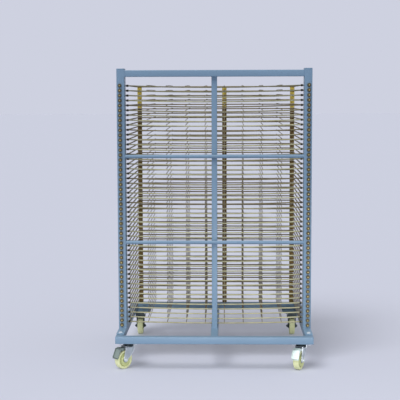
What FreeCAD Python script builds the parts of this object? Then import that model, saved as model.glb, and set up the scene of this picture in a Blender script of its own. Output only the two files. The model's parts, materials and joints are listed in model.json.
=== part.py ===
"""Art drying rack: fifty hinged wire trays in a steel frame on four casters.

Frame of reference: origin on the floor at the middle of the footprint, +Z up,
+Y from the hinge side to the loading side, +X to the right seen from the
hinge side.  Millimetres and degrees.
"""

import FreeCAD, Part
import math
import os
import re

import Sketcher

Vector = FreeCAD.Vector

DIMENSIONS = [
    # base
    ("base_overhang", 19.5, "far rod of the trays to the far end of the base"),
    ("base_bar_width", 40, "base tubes"),
    ("base_bar_height", 37.5, "base tubes"),
    ("tube_wall", 2, "wall of every rectangular tube"),
    ("end_cap_thickness", 1.5, "flange of the plugs in the bar ends"),
    ("end_cap_depth", 14, "spigot of the plugs in the bar ends"),
    ("spigot_clearance", 0.1, "each side of a plug's spigot"),
    # posts, rails
    ("post_setback", 200, "near end of the base to the posts' near faces"),
    ("post_width", 42, "post tube along X"),
    ("post_depth", 80, "post tube along Y"),
    ("post_cap_thickness", 3, "flange of the post caps"),
    ("foot_plate_thickness", 5, "plate under each post"),
    ("foot_plate_toe", 140, "foot plate in front of the post"),
    ("foot_plate_heel", 100, "foot plate behind the post"),
    ("foot_bolt_width", 13, "hexagon across flats"),
    ("foot_bolt_height", 6, "head of the foot plate bolts"),
    ("foot_bolt_edge", 25, "bolt to the end of the foot plate"),
    ("post_headroom", 90.5, "top hinge axis to the top of the post caps"),
    ("rail_drop", 9, "post cap top to the rail's top"),
    ("rail_height", 35, "top rail"),
    ("rail_depth", 50, "top rail along Y"),
    ("rail_setback", 2, "post face to the face of rail and crossbars"),
    ("mullion_width", 30, "centre upright, square"),
    ("crossbar_diameter", 20, "round crossbars"),
    ("upper_crossbar_rise", 941.2, "base top to the bar's centre"),
    ("lower_crossbar_rise", 475.2, "base top to the bar's centre"),
    # trays and hinges
    ("tray_count", 50, "levels"),
    ("fixed_tray_count", 24, "lower levels kept as one group"),
    ("tray_pitch", 26.5, "level to level"),
    ("tray_width", 950, "outside of the side rods"),
    ("tray_side_gap", 5.5, "side rods to the posts' inner faces"),
    ("tray_reach", 665, "hinge axis to the middle of the far rod"),
    ("frame_rod", 7, "square section of side and far rods"),
    ("wire_size", 4, "depthwise wires, width and height"),
    ("wire_count", 8, "depthwise wires, evenly spaced between the side rods"),
    ("foot_width", 27, "strip foot along X"),
    ("foot_strip", 3, "thickness of the strip feet"),
    ("foot_inset", 3.5, "tray edge to the middle of an outer foot"),
    ("foot_gap", 0.3, "foot to the tray or bar below it"),
    ("middle_foot_offset", 52, "middle foot from the centre line"),
    ("pivot_diameter", 8, "pivot rod over its corners"),
    ("pivot_sides", 8, "sides of the pivot rod"),
    ("pivot_end", 3, "pivot rod beyond the eye"),
    ("pivot_clearance", 0.08, "pivot rod to the eye, each side"),
    ("hinge_offset", 12, "posts' far faces to the hinge axis"),
    ("eye_offset", 3.5, "eye outside the post's centre line"),
    ("eye_width", 8, "hinge eye along X"),
    ("eye_height", 18, "hinge eye"),
    # casters
    ("plate_end_inset", 23, "base end to the mounting plates"),
    ("plate_side_inset", 0.5, "base side to the mounting plates"),
    ("mounting_plate_size", 120, "square plate under each corner"),
    ("mounting_plate_thickness", 5, "plate under each corner"),
    ("head_plate_length", 105, "caster head plate"),
    ("head_plate_width", 85, "caster head plate"),
    ("head_plate_thickness", 4, "caster head plate"),
    ("wheel_diameter", 100, "caster wheels"),
    ("wheel_width", 32, "caster wheels"),
    ("tread_thickness", 12, "tread over the core's corners"),
    ("core_sides", 24, "sides of the core, which key it into the tread"),
    ("axle_diameter", 10, "caster axles"),
    ("axle_clearance", 0.05, "wheel bore over the axle, radial"),
    ("fork_wall", 3, "fork sheet"),
    ("wheel_side_gap", 2.5, "wheel to each fork leg"),
    ("fork_trail", 34, "swivel axis to the axle"),
    ("crown_clearance", 13.7, "top of the wheel to the crown"),
    ("crown_diameter", 56, "swivel fork's crown"),
    ("crown_height", 11, "swivel fork's crown"),
    ("race_diameter", 46, "ball race above the crown"),
    ("race_height", 11, "ball race above the crown"),
    ("race_gap", 0.3, "crown to the ball race"),
    ("kingpin_diameter", 12, "swivel pin"),
    ("kingpin_clearance", 0.05, "swivel pin in the crown, radial"),
    ("kingpin_head_diameter", 20, "head under the crown"),
    ("kingpin_head_height", 3, "head under the crown"),
    ("leg_boss_radius", 14, "round end of the fork legs"),
    ("leg_front_inset", 1, "crown's edge to the front of the legs' top"),
    ("leg_back_reach", 4, "crown's edge to the back of the legs' top"),
    ("leg_knee_inset", 3.5, "crown's edge to the bend of the legs' front"),
    ("leg_knee_rise", 43, "axle to the bend of the legs' front"),
    ("fixed_leg_reach", 28, "fixed fork's axle to the edges of its legs' top"),
    ("left_swivel_rest", -43, "turn of the left caster at rest"),
    ("right_swivel_rest", -24, "turn of the right caster at rest"),
    ("pedal_pin_diameter", 6, "brake pedal's pivot"),
    ("pedal_pin_back", 30, "swivel axis to the pedal's pivot"),
    ("pedal_pin_rise", 7, "top of the wheel to the pedal's pivot"),
    ("pedal_pin_clearance", 0.06, "pedal hub over its pin, radial"),
    ("pedal_hub_diameter", 11, "pedal hub round the pin"),
    ("pedal_width", 42, "tread plate of the brake pedal"),
    ("pedal_sheet", 3, "sheet of the brake pedal"),
    ("pedal_lip_reach", 11, "back of the wheel to the pedal's lower edge"),
    ("pedal_lip_rise", 11, "axle to the pedal's lower edge"),
    ("pedal_knee_reach", 29, "axle to the pedal's bend"),
    ("pedal_knee_rise", 19, "top of the wheel to the pedal's bend"),
    ("pedal_hub_gap", 0.3, "pedal hub to each fork leg"),
    ("shoe_width", 28, "brake shoe along the axle"),
    ("shoe_length", 16, "brake shoe along the tread"),
    ("shoe_start", 9, "pedal's pivot to the brake shoe"),
    ("shoe_gap", 2.2, "brake shoe to the tread when released"),
]

# Places worked out from the driving dimensions.
DERIVED = {
    "wheel_radius": "(wheel_diameter / 2)",
    "crown_bottom": "(wheel_diameter + crown_clearance)",
    "crown_top": "(crown_bottom + crown_height)",
    "head_bottom": "(crown_top + race_gap + race_height)",
    "head_middle": "(head_bottom + head_plate_thickness / 2)",
    "head_top": "(head_bottom + head_plate_thickness)",
    "caster_height": "(head_top + mounting_plate_thickness)",
    "base_top": "(caster_height + base_bar_height)",
    "base_length": "(post_setback + post_depth + hinge_offset + tray_reach + frame_rod / 2 + base_overhang)",
    "post_inner": "(tray_width / 2 + tray_side_gap)",
    "overall_width": "(2 * (post_inner + post_width))",
    "top_level": "(first_level + (tray_count - 1) * tray_pitch)",
    "frame_height": "(top_level + post_headroom)",
    "near_end": "(-base_length / 2)",
    "far_end": "(base_length / 2)",
    "side_face": "(overall_width / 2)",
    "post_near": "(near_end + post_setback)",
    "post_far": "(post_near + post_depth)",
    "post_middle": "(side_face - post_width / 2)",
    "post_foot": "(base_top + foot_plate_thickness)",
    "post_top": "(frame_height - post_cap_thickness)",
    "rail_near": "(post_near + rail_setback)",
    "rail_top": "(frame_height - rail_drop)",
    "rail_bottom": "(rail_top - rail_height)",
    "mullion_near": "(rail_near + crossbar_diameter)",
    "hinge_line": "(post_far + hinge_offset)",
    "eye_middle": "(post_middle + eye_offset)",
    "pivot_radius": "(pivot_diameter / 2)",
    "pivot_length": "(2 * (eye_middle + eye_width / 2 + pivot_end))",
    "foot_length": "(tray_pitch - frame_rod - foot_gap)",
    "first_level": "(base_top + foot_gap + foot_length + frame_rod - pivot_radius)",
    "rod_bottom": "(pivot_radius - frame_rod)",
    "side_rod": "(tray_width / 2 - frame_rod)",
    "wire_spacing": "((tray_width - frame_rod) / (wire_count + 1))",
    "foot_place": "(tray_width / 2 - foot_inset)",
    "caster_along": "(base_length / 2 - plate_end_inset - mounting_plate_size / 2)",
    "caster_across": "(side_face - plate_side_inset - mounting_plate_size / 2)",
    "fork_gap": "(wheel_width + 2 * wheel_side_gap)",
    "fork_width": "(fork_gap + 2 * fork_wall)",
    "core_radius": "(wheel_radius - tread_thickness)",
    "pedal_pin_height": "(wheel_diameter + pedal_pin_rise)",
    "pedal_reach": "(fork_trail + wheel_radius + pedal_lip_reach)",
    "pedal_lip_height": "(wheel_radius + pedal_lip_rise)",
    "pedal_knee_back": "(fork_trail + pedal_knee_reach)",
    "pedal_knee_height": "(wheel_diameter + pedal_knee_rise)",
    "arm_height": "(pedal_pin_height + pedal_hub_diameter / 2)",
    "arm_slope": "((pedal_knee_height - arm_height) / (pedal_knee_back - pedal_sheet - pedal_pin_back))",
}

doc = FreeCAD.newDocument("ArtDryingRack")
sheet = doc.addObject("Spreadsheet::Sheet", "Dims")
NAMES = {alias for alias, size, note in DIMENSIONS}
outputs = []


def fill_sheet():
    """One row per driving dimension: name, size, what it measures."""
    for row, (alias, size, note) in enumerate(DIMENSIONS, start=1):
        sheet.set("A%d" % row, alias)
        sheet.set("B%d" % row, str(size))
        sheet.set("C%d" % row, note)
        sheet.setAlias("B%d" % row, alias)
    doc.recompute()


def spell(text):
    """Write an expression out in the sheet's own cells."""

    def cell(match):
        word = match.group(0)
        if word in DERIVED:
            return "(" + spell(DERIVED[word]) + ")"
        return "Dims." + word if word in NAMES else word

    return re.sub(r"[a-z][a-z_]+", cell, str(text))


def size(text):
    """The number that an expression gives now."""
    return float(sheet.evalExpression(spell(text)))


def bind(thing, **expressions):
    """Tie properties to expressions; two underscores stand for a point."""
    for name, text in expressions.items():
        thing.setExpression(name.replace("__", "."), spell(text))
    return thing


def place(thing, x=0, y=0, z=0, turn=None):
    """Tie a placement's base and its turn about Z to expressions."""
    if turn is not None:
        thing.Placement.Rotation = FreeCAD.Rotation(Vector(0, 0, 1), size(turn))
        bind(thing, Placement__Rotation__Angle=turn)
    return bind(thing, Placement__Base__x=x, Placement__Base__y=y, Placement__Base__z=z)


def keep(thing, label):
    """Give a sub-part the name that its file gets."""
    thing.Label = label
    outputs.append(thing)
    return thing


# ---------------------------------------------------------------- primitives


def box(name, x, y, z, length, width, height):
    """A straight bar or plate from its low corner."""
    made = doc.addObject("Part::Box", name)
    bind(made, Length=length, Width=width, Height=height)
    return place(made, x, y, z)


def rod_along_x(name, diameter, length, x=0, y=0, z=0):
    """A round bar along X, centred on x."""
    made = doc.addObject("Part::Cylinder", name)
    bind(made, Radius="(%s) / 2" % diameter, Height=length)
    made.Placement.Rotation = FreeCAD.Rotation(Vector(0, 1, 0), 90)
    return place(made, "(%s) - (%s) / 2" % (x, length), y, z)


def hexagon(name, across, height, x, y, z):
    """A hexagon head standing on z."""
    made = doc.addObject("Part::Prism", name)
    made.Polygon = 6
    bind(made, Circumradius="(%s) / 2 / cos(30)" % across, Height=height)
    return place(made, x, y, z)


def ridge_along_y(name, width, height, length, x, y, z):
    """A three-sided bar along Y from y, flat side down on z, centred on x."""
    made = doc.addObject("Part::Wedge", name)
    made.Xmin = made.Ymin = made.Zmin = made.Z2min = 0
    bind(made, Xmax=width, Ymax=height, Zmax=length, Z2max=length,
         X2min="(%s) / 2" % width, X2max="(%s) / 2" % width)
    made.Placement.Rotation = FreeCAD.Rotation(Vector(1, 0, 0), 90)
    return place(made, "(%s) - (%s) / 2" % (x, width), "(%s) + (%s)" % (y, length), z)


def group(name, members, label=None):
    """Separate solids that make one node."""
    made = doc.addObject("Part::Compound", name)
    made.Links = members
    return keep(made, label) if label else made


# ------------------------------------------------------------ sketched solids


def new_body(name, x=0, y=0, z=0, turn=None):
    return place(doc.addObject("PartDesign::Body", name), x, y, z, turn)


def new_sketch(body, role, lift=None):
    """A sketch on one of the body's own origin planes."""
    sketch = body.newObject("Sketcher::SketchObject", body.Name + "Sketch")
    plane = [face for face in body.Origin.OriginFeatures if face.Role == role][0]
    sketch.AttachmentSupport = [(plane, "")]
    sketch.MapMode = "FlatFace"
    if lift is not None:
        bind(sketch, AttachmentOffset__Base__z=lift)
    return sketch


def pin_point(sketch, edge, end, x, y):
    """Hold a point of the sketch at two expressions."""
    for kind, text in (("DistanceX", x), ("DistanceY", y)):
        number = sketch.addConstraint(
            Sketcher.Constraint(kind, -1, 1, edge, end, size(text))
        )
        sketch.setExpression("Constraints[%d]" % number, spell(text))


def outline(sketch, corners):
    """A closed straight outline through corners given as expressions."""
    first = sketch.GeometryCount
    spots = [Vector(size(x), size(y), 0) for x, y in corners]
    count = len(corners)
    for i in range(count):
        sketch.addGeometry(Part.LineSegment(spots[i], spots[(i + 1) % count]))
    for i in range(count):
        following = first + (i + 1) % count
        sketch.addConstraint(Sketcher.Constraint("Coincident", first + i, 2, following, 1))
    for i, (x, y) in enumerate(corners):
        pin_point(sketch, first + i, 1, x, y)


def rectangle(sketch, width, height, x="0", y="0"):
    """A rectangle centred on x, y."""
    left, right = ("(%s) - (%s) / 2" % (x, width), "(%s) + (%s) / 2" % (x, width))
    low, high = ("(%s) - (%s) / 2" % (y, height), "(%s) + (%s) / 2" % (y, height))
    outline(sketch, [(left, low), (right, low), (right, high), (left, high)])


def circle(sketch, radius, x="0", y="0"):
    centre = Vector(size(x), size(y), 0)
    edge = sketch.addGeometry(Part.Circle(centre, Vector(0, 0, 1), size(radius)))
    pin_point(sketch, edge, 3, x, y)
    number = sketch.addConstraint(Sketcher.Constraint("Radius", edge, size(radius)))
    sketch.setExpression("Constraints[%d]" % number, spell(radius))


def pad(body, sketch, length, both_ways=False):
    made = body.newObject("PartDesign::Pad", body.Name + "Pad")
    made.Profile = sketch
    made.SideType = "Symmetric" if both_ways else "One side"
    bind(made, Length=length)
    body.Tip = made
    return made


def pocket(body, sketch, length, both_ways=True):
    made = body.newObject("PartDesign::Pocket", body.Name + "Pocket")
    made.Profile = sketch
    made.SideType = "Symmetric" if both_ways else "One side"
    bind(made, Length=length)
    body.Tip = made
    return made


def revolve(body, sketch, axis):
    made = body.newObject("PartDesign::Revolution", body.Name + "Turned")
    made.Profile = sketch
    made.ReferenceAxis = (sketch, [axis])
    made.Angle = 360
    body.Tip = made
    return made


def tube(name, role, across, up, length, x, y, z):
    """A rectangular tube, centred on x, y, z, open at both ends."""
    body = new_body(name, x, y, z)
    sketch = new_sketch(body, role)
    rectangle(sketch, across, up)
    rectangle(sketch, "(%s) - 2 * tube_wall" % across, "(%s) - 2 * tube_wall" % up)
    pad(body, sketch, length, both_ways=True)
    return body


# -------------------------------------------------------------------- frame


def plug(name, role, width, height, x, y, z, outward):
    """A flanged plastic plug in a tube's end; outward is +1 or -1."""
    body = new_body(name, x, y, z)
    flange = new_sketch(body, role)
    rectangle(flange, width, height)
    spigot_wide = "(%s) - 2 * (tube_wall + spigot_clearance)" % width
    spigot_high = "(%s) - 2 * (tube_wall + spigot_clearance)" % height
    thickness = "post_cap_thickness" if role == "XY_Plane" else "end_cap_thickness"
    cap = pad(body, flange, thickness)
    cap.Reversed = outward < 0
    spigot = new_sketch(body, role)
    rectangle(spigot, spigot_wide, spigot_high)
    stem = pad(body, spigot, "end_cap_depth")
    stem.Reversed = outward > 0
    return body


def make_posts():
    caps = []
    plates = []
    bolts = []
    for side, word in ((-1, "Left"), (1, "Right")):
        x = "%d * post_middle" % side
        middle = "post_near + post_depth / 2"
        post = tube(
            word + "Post", "XY_Plane", "post_width", "post_depth",
            "post_top - post_foot", x, middle, "(post_top + post_foot) / 2",
        )
        keep(post, word.lower() + "_post")
        caps.append(
            plug(word + "PostCap", "XY_Plane", "post_width", "post_depth",
                 x, middle, "post_top", 1)
        )
        toe = "post_near - foot_plate_toe"
        heel = "post_far + foot_plate_heel"
        plates.append(
            box(word + "FootPlate", x + " - post_width / 2", toe, "base_top",
                "post_width", "(%s) - (%s)" % (heel, toe), "foot_plate_thickness")
        )
        for end, y in (("Toe", toe + " + foot_bolt_edge"), ("Heel", heel + " - foot_bolt_edge")):
            bolts.append(
                hexagon(word + end + "Bolt", "foot_bolt_width", "foot_bolt_height",
                        x, y, "post_foot")
            )
    group("PostCaps", caps, "post_caps")
    group("FootPlates", plates, "post_foot_plates")
    group("FootPlateBolts", bolts, "foot_plate_bolts")


def make_rails():
    keep(
        tube("TopRail", "YZ_Plane", "rail_depth", "rail_height", "2 * post_inner",
             0, "rail_near + rail_depth / 2", "rail_bottom + rail_height / 2"),
        "top_rail",
    )
    keep(
        tube("CentreMullion", "XY_Plane", "mullion_width", "mullion_width",
             "rail_bottom - base_top", 0, "mullion_near + mullion_width / 2",
             "(rail_bottom + base_top) / 2"),
        "centre_mullion",
    )
    for word in ("upper", "lower"):
        bar = rod_along_x(
            word.title() + "Crossbar", "crossbar_diameter", "2 * post_inner",
            0, "rail_near + crossbar_diameter / 2", "base_top + %s_crossbar_rise" % word,
        )
        keep(bar, word + "_crossbar")


def make_base():
    middle = "caster_height + base_bar_height / 2"
    plugs = []
    for word, y in (("near", "near_end + base_bar_width / 2"), ("far", "far_end - base_bar_width / 2")):
        length = "overall_width - 2 * end_cap_thickness"
        bar = tube("Base%sBar" % word.title(), "YZ_Plane", "base_bar_width",
                   "base_bar_height", length, 0, y, middle)
        keep(bar, "base_%s_bar" % word)
        for side in (-1, 1):
            plugs.append(
                plug("%sBarPlug%d" % (word.title(), side + 1), "YZ_Plane",
                     "base_bar_width", "base_bar_height",
                     "%d * (side_face - end_cap_thickness)" % side, y, middle, side)
            )
    group("BaseEndCaps", plugs, "base_end_caps")
    rails = []
    for word, x in (("Left", "base_bar_width / 2 - side_face"), ("Right", "side_face - base_bar_width / 2")):
        rails.append(
            tube("Base%sRail" % word, "XZ_Plane", "base_bar_width", "base_bar_height",
                 "base_length - 2 * base_bar_width", x, 0, middle)
        )
    group("BaseSideRails", rails, "base_side_rails")
    keep(
        tube("BaseCentreRail", "XZ_Plane", "base_bar_width", "base_bar_height",
             "base_length - 2 * base_bar_width", 0, 0, middle),
        "base_centre_rail",
    )
    plates = []
    for across in (-1, 1):
        for along in (-1, 1):
            plates.append(
                box("MountingPlate%d%d" % (across + 1, along + 1),
                    "%d * caster_across - mounting_plate_size / 2" % across,
                    "%d * caster_along - mounting_plate_size / 2" % along,
                    "head_top", "mounting_plate_size", "mounting_plate_size",
                    "mounting_plate_thickness")
            )
    group("MountingPlates", plates, "caster_mounting_plates")


# -------------------------------------------------------------------- trays


def make_tray_pieces():
    """The solids of one tray, its hinge axis along X through the origin."""
    pivot = doc.addObject("Part::Prism", "PivotRod")
    bind(pivot, Circumradius="pivot_radius", Height="pivot_length", Polygon="pivot_sides")
    pivot.Placement.Rotation = FreeCAD.Rotation(Vector(0, 1, 0), 90)
    place(pivot, "-pivot_length / 2")
    far_near = "tray_reach - frame_rod / 2"
    left = box("LeftSideRod", "-tray_width / 2", "pivot_radius", "rod_bottom",
               "frame_rod", far_near + " - pivot_radius", "frame_rod")
    right = box("RightSideRod", "side_rod", "pivot_radius", "rod_bottom",
                "frame_rod", far_near + " - pivot_radius", "frame_rod")
    far = box("FarRod", "-tray_width / 2", far_near, "rod_bottom",
              "tray_width", "frame_rod", "frame_rod")
    pieces = [pivot, left, right, far]
    for i in range(int(size("wire_count"))):
        x = "(%d - (wire_count - 1) / 2) * wire_spacing" % i
        pieces.append(
            ridge_along_y("Wire%d" % (i + 1), "wire_size", "wire_size", "tray_reach",
                          x, 0, "pivot_radius")
        )
    for word, x in (("Left", "-foot_place"), ("Middle", "middle_foot_offset"), ("Right", "foot_place")):
        pieces.append(
            box(word + "Foot", x + " - foot_width / 2",
                "tray_reach + frame_rod / 2 - foot_strip", "rod_bottom - foot_length",
                "foot_width", "foot_strip", "foot_length")
        )
    return pieces


def make_trays():
    """Every tray is the same pieces on its own level of the hinge line."""
    pieces = make_tray_pieces()
    fixed = []
    for level in range(1, int(size("tray_count")) + 1):
        tray = group("Tray%02d" % level, pieces)
        place(tray, 0, "hinge_line", "first_level + %d * tray_pitch" % (level - 1))
        if level <= size("fixed_tray_count"):
            fixed.append(tray)
        else:
            keep(tray, "tray_%02d" % level)
    group("LowerTrays", fixed, "lower_trays")


def make_hinge_eyes():
    """An eye block on each post's far face for every level."""
    master = new_body("HingeEye")
    sketch = new_sketch(master, "YZ_Plane")
    eye_reach = "hinge_offset + eye_height / 2"
    rectangle(sketch, eye_reach, "eye_height", "eye_height / 2 - (%s) / 2" % eye_reach)
    bore = "pivot_diameter + 2 * pivot_clearance"
    rectangle(sketch, bore, bore)
    pad(master, sketch, "eye_width", both_ways=True)
    eyes = []
    for level in range(int(size("tray_count"))):
        for side in (-1, 1):
            eye = group("Eye%d_%d" % (level + 1, side + 1), [master])
            place(eye, "%d * eye_middle" % side, "hinge_line",
                  "first_level + %d * tray_pitch" % level)
            eyes.append(eye)
    group("HingeEyes", eyes, "hinge_eyes")


# ------------------------------------------------------------------- casters


def core_outline(sketch):
    """The core's many-sided edge, its corners tread_thickness below the tread."""
    count = int(size("core_sides"))
    outline(sketch, [
        ("core_radius * cos(360 / core_sides * %d)" % i, "core_radius * sin(360 / core_sides * %d)" % i)
        for i in range(count)
    ])


def make_wheel(word, x, y, turn):
    """Core bored for the axle, and the tread moulded round it, along local X."""
    core = new_body(word + "WheelCore")
    disc = new_sketch(core, "YZ_Plane")
    core_outline(disc)
    circle(disc, "axle_diameter / 2 + axle_clearance")
    pad(core, disc, "wheel_width", both_ways=True)
    tread = new_body(word + "WheelTread")
    ring = new_sketch(tread, "YZ_Plane")
    circle(ring, "wheel_radius")
    core_outline(ring)
    pad(tread, ring, "wheel_width", both_ways=True)
    wheel = group(word + "Wheel", [core, tread], word.lower().replace("side", "_") + "_wheel")
    return place(wheel, x, y, "wheel_radius", turn)


def make_axle(word, x, y, turn, label):
    """Axle across the fork, its ends standing out beyond the legs."""
    pin = rod_along_x(word + "AxlePin", "axle_diameter", "fork_width + 2 * fork_wall")
    axle = group(word + "Axle", [pin])
    place(axle, x, y, "wheel_radius", turn)
    return keep(axle, label) if label else axle


def leg_outline(sketch, top, front, back, drop, knee=None):
    """Fork leg seen from the side: a tapering plate with a round end.

    The sketch's x is along the rack, its y is up; the round end is centred on
    the axle, drop behind the fork's own axis.  The front edge may bend at a knee.
    """
    centre = Vector(-size(drop), size("wheel_radius"), 0)
    radius = size("leg_boss_radius")
    corners = [(back, top), (front, top)] + ([knee] if knee else [])
    spots = [Vector(size(x), size(y), 0) for x, y in corners]
    spots.append(centre + Vector(radius, 0, 0))
    edges = [
        sketch.addGeometry(Part.LineSegment(start, finish))
        for start, finish in zip(spots, spots[1:])
    ]
    boss = Part.Circle(centre, Vector(0, 0, 1), radius)
    arc = sketch.addGeometry(Part.ArcOfCircle(boss, math.pi, 2 * math.pi))
    back_edge = sketch.addGeometry(Part.LineSegment(centre - Vector(radius, 0, 0), spots[0]))
    for before, after in zip([back_edge] + edges, edges):
        sketch.addConstraint(Sketcher.Constraint("Coincident", before, 2, after, 1))
    for edge, (x, y) in zip(edges, corners):
        pin_point(sketch, edge, 1, x, y)
    pin_point(sketch, arc, 3, "-(%s)" % drop, "wheel_radius")
    number = sketch.addConstraint(Sketcher.Constraint("Radius", arc, radius))
    sketch.setExpression("Constraints[%d]" % number, spell("leg_boss_radius"))
    sketch.addConstraint(Sketcher.Constraint("Tangent", edges[-1], 2, arc, 2))
    sketch.addConstraint(Sketcher.Constraint("Tangent", back_edge, 1, arc, 1))


def make_swivel_fork(word, x, y, turn):
    """Crown with two trailing legs and the pedal's pin riveted between them."""
    body = new_body(word + "SwivelFork", x, y, 0, turn)
    crown = new_sketch(body, "XY_Plane", "crown_bottom")
    circle(crown, "crown_diameter / 2")
    pad(body, crown, "crown_height")
    legs = new_sketch(body, "YZ_Plane")
    leg_outline(legs, "crown_top - fork_wall", "crown_diameter / 2 - leg_front_inset",
                "-crown_diameter / 2 - leg_back_reach", "fork_trail",
                ("crown_diameter / 2 - leg_knee_inset", "wheel_radius + leg_knee_rise"))
    pad(body, legs, "fork_width", both_ways=True)
    slot = new_sketch(body, "XZ_Plane")
    rectangle(slot, "fork_gap", "crown_bottom", "0", "crown_bottom / 2")
    pocket(body, slot, "2 * (fork_trail + wheel_radius)")
    bore = new_sketch(body, "XY_Plane")
    circle(bore, "kingpin_diameter / 2 + kingpin_clearance")
    pocket(body, bore, "2 * caster_height")
    holes = new_sketch(body, "YZ_Plane")
    circle(holes, "axle_diameter / 2 + axle_clearance", "-fork_trail", "wheel_radius")
    pocket(body, holes, "2 * fork_width")
    pin = new_sketch(body, "YZ_Plane")
    circle(pin, "pedal_pin_diameter / 2", "-pedal_pin_back", "pedal_pin_height")
    pad(body, pin, "fork_gap + fork_wall", both_ways=True)
    keep(body, word.lower() + "_swivel_fork")


def make_pedal(word, x, y, turn):
    """Bent sheet pedal on a tubular hub between the legs, shoe below it."""
    body = new_body(word + "BrakePedal")
    knee = ("-pedal_knee_back", "pedal_knee_height")
    inner_knee = ("-pedal_knee_back + pedal_sheet", "pedal_knee_height - pedal_sheet")
    arm = new_sketch(body, "YZ_Plane")
    outline(arm, [
        ("-pedal_pin_back", "arm_height"), ("-pedal_pin_back", "arm_height - pedal_sheet"),
        inner_knee, knee,
    ])
    pad(body, arm, "fork_gap - 2 * pedal_hub_gap", both_ways=True)
    plate = new_sketch(body, "YZ_Plane")
    outline(plate, [
        knee, inner_knee,
        ("-pedal_reach + pedal_sheet", "pedal_lip_height"), ("-pedal_reach", "pedal_lip_height"),
    ])
    pad(body, plate, "pedal_width", both_ways=True)
    hub = new_sketch(body, "YZ_Plane")
    circle(hub, "pedal_hub_diameter / 2", "-pedal_pin_back", "pedal_pin_height")
    pad(body, hub, "fork_gap - 2 * pedal_hub_gap", both_ways=True)
    bore = new_sketch(body, "YZ_Plane")
    circle(bore, "pedal_pin_diameter / 2 + pedal_pin_clearance", "-pedal_pin_back", "pedal_pin_height")
    pocket(body, bore, "2 * fork_width")
    shoe = new_body(word + "BrakeShoe")
    block = new_sketch(shoe, "YZ_Plane")
    front = "-pedal_pin_back - shoe_start"
    back = front + " - shoe_length"
    seat = "arm_height - pedal_sheet"
    outline(block, [
        (back, "wheel_diameter + shoe_gap - pedal_sheet"),
        (front, "wheel_diameter + shoe_gap"),
        (front, seat + " + shoe_start * arm_slope"),
        (back, seat + " + (shoe_start + shoe_length) * arm_slope"),
    ])
    pad(shoe, block, "shoe_width", both_ways=True)
    pedal = group(word + "Pedal", [body, shoe], word.lower() + "_brake_pedal")
    place(pedal, x, y, 0, turn)


def swivel_head(word, x, y, turn):
    """Head plate, ball race and kingpin of a swivel caster."""
    body = new_body(word + "SwivelHead", x, y, 0)
    plate = new_sketch(body, "XY_Plane", "head_bottom")
    rectangle(plate, "head_plate_length", "head_plate_width")
    pad(body, plate, "head_plate_thickness")
    turned = new_sketch(body, "XZ_Plane")
    head_top_face = "crown_bottom - race_gap"
    outline(turned, [
        ("0", "head_middle"), ("0", head_top_face + " - kingpin_head_height"),
        ("kingpin_head_diameter / 2", head_top_face + " - kingpin_head_height"),
        ("kingpin_head_diameter / 2", head_top_face),
        ("kingpin_diameter / 2", head_top_face),
        ("kingpin_diameter / 2", "crown_top + race_gap"),
        ("race_diameter / 2", "crown_top + race_gap"),
        ("race_diameter / 2", "head_middle"),
    ])
    revolve(body, turned, "V_Axis")
    return body


def fixed_fork(word, x, y):
    """Head plate with two straight legs, all one pressing."""
    body = new_body(word + "FixedFork", x, y, 0)
    plate = new_sketch(body, "XY_Plane", "head_bottom")
    rectangle(plate, "head_plate_width", "head_plate_length")
    pad(body, plate, "head_plate_thickness")
    legs = new_sketch(body, "YZ_Plane")
    leg_outline(legs, "head_middle", "fixed_leg_reach", "-fixed_leg_reach", "0")
    pad(body, legs, "fork_width", both_ways=True)
    slot = new_sketch(body, "XZ_Plane")
    rectangle(slot, "fork_gap", "head_bottom", "0", "head_bottom / 2")
    pocket(body, slot, "wheel_diameter")
    hole = new_sketch(body, "YZ_Plane")
    circle(hole, "axle_diameter / 2 + axle_clearance", "0", "wheel_radius")
    pocket(body, hole, "2 * fork_width")
    return body


def make_casters():
    heads = []
    forks = []
    far_axles = []
    for side, word in ((-1, "Left"), (1, "Right")):
        x = "%d * caster_across" % side
        turn = word.lower() + "_swivel_rest"
        near_y = "-caster_along"
        heads.append(swivel_head(word, x, near_y, turn))
        make_swivel_fork(word, x, near_y, turn)
        make_pedal(word, x, near_y, turn)
        axle_x = "%s + fork_trail * sin(%s)" % (x, turn)
        axle_y = "%s - fork_trail * cos(%s)" % (near_y, turn)
        make_axle(word + "Near", axle_x, axle_y, turn, word.lower() + "_near_axle")
        make_wheel(word + "sideNear", axle_x, axle_y, turn)
        forks.append(fixed_fork(word, x, "caster_along"))
        far_axles.append(make_axle(word + "Far", x, "caster_along", "0", None))
        make_wheel(word + "sideFar", x, "caster_along", "0")
    group("NearCasterHeads", heads, "near_caster_plates")
    group("FarCasterForks", forks, "far_caster_forks")
    group("FarCasterAxles", far_axles, "far_caster_axles")


def write_parts():
    """Check every object, then write one STEP file per sub-part."""
    doc.recompute()
    for thing in doc.Objects:
        if "Invalid" in thing.State or "Error" in thing.State:
            raise RuntimeError("%s failed: %s" % (thing.Name, thing.State))
    for thing in outputs:
        if thing.Shape.isNull() or not thing.Shape.isValid() or not thing.Shape.Solids:
            raise RuntimeError("%s has no valid shape" % thing.Label)
    os.makedirs("parts", exist_ok=True)
    for thing in outputs:
        thing.Shape.exportStep("parts/%s.step" % thing.Label)


fill_sheet()
make_posts()
make_rails()
make_base()
make_trays()
make_hinge_eyes()
make_casters()
write_parts()
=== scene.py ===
"""Art drying rack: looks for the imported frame, its trays, hinges and casters."""

import collections
import json
import math

import bmesh
import bpy
from mathutils import Matrix, Vector


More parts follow.
